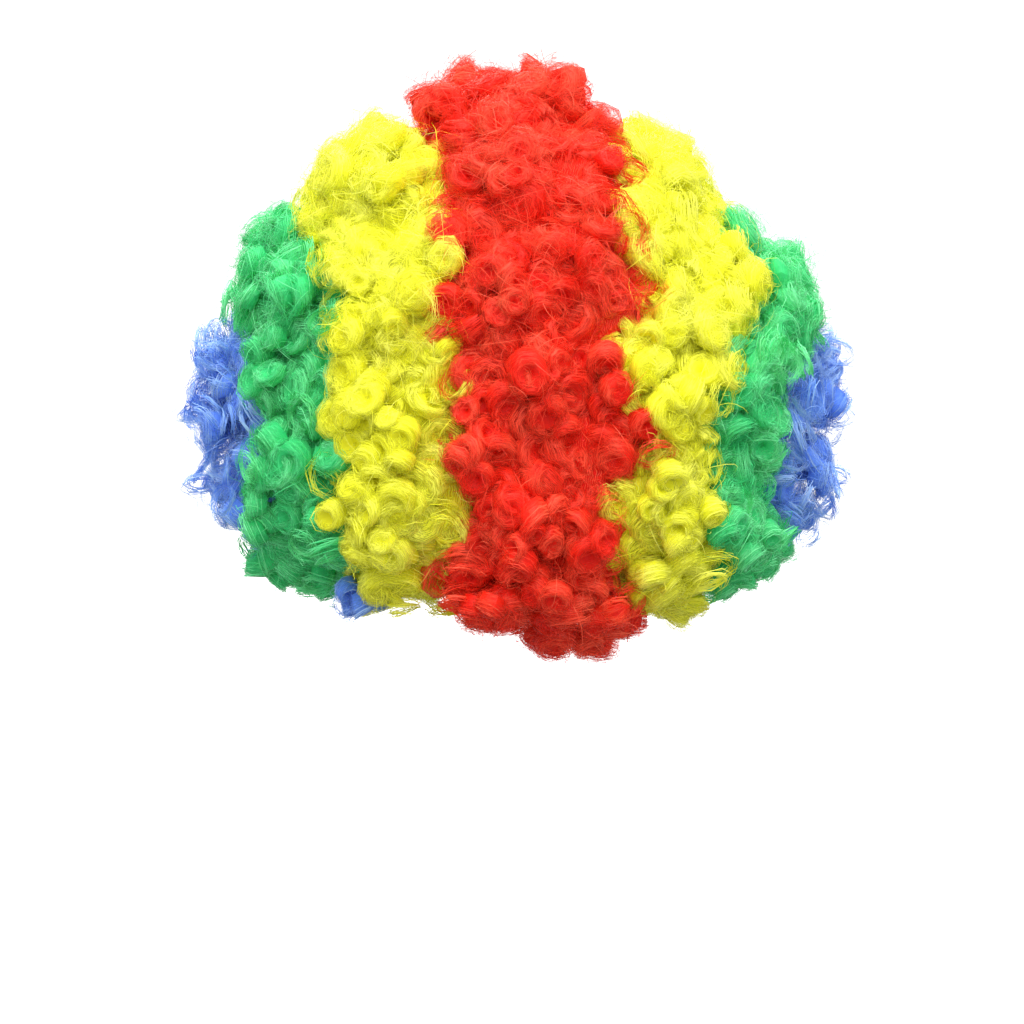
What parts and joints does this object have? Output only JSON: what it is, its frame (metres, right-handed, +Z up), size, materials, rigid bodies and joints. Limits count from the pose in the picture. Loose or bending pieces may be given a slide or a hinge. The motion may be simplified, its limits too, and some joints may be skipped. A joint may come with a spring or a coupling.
{
  "type": "clown wig",
  "caption": "Curly clown wig: a stretch cap covered with side-by-side bands of ringlets in red, yellow, green and blue, worn over the head with an open face.",
  "frame": {"origin": "the crown of the wearer's head, at the inside top of the cap", "axes": "+Z up, the wearer faces -Y, +X is the wearer's left"},
  "size_m": [0.3642, 0.3282, 0.3323],
  "materials": {
    "cap_net": "matt black stretch knit",
    "hair_red": "glossy synthetic fibre",
    "hair_yellow": "glossy synthetic fibre",
    "hair_green": "glossy synthetic fibre",
    "hair_blue": "glossy synthetic fibre"
  },
  "bodies": {
    "root": {"cap": "cap_net", "hair_red": "hair_red", "hair_yellow_left": "hair_yellow", "hair_yellow_right": "hair_yellow", "hair_green_left": "hair_green", "hair_green_right": "hair_green", "hair_blue_left": "hair_blue", "hair_blue_right": "hair_blue"}
  },
  "joints": []
}
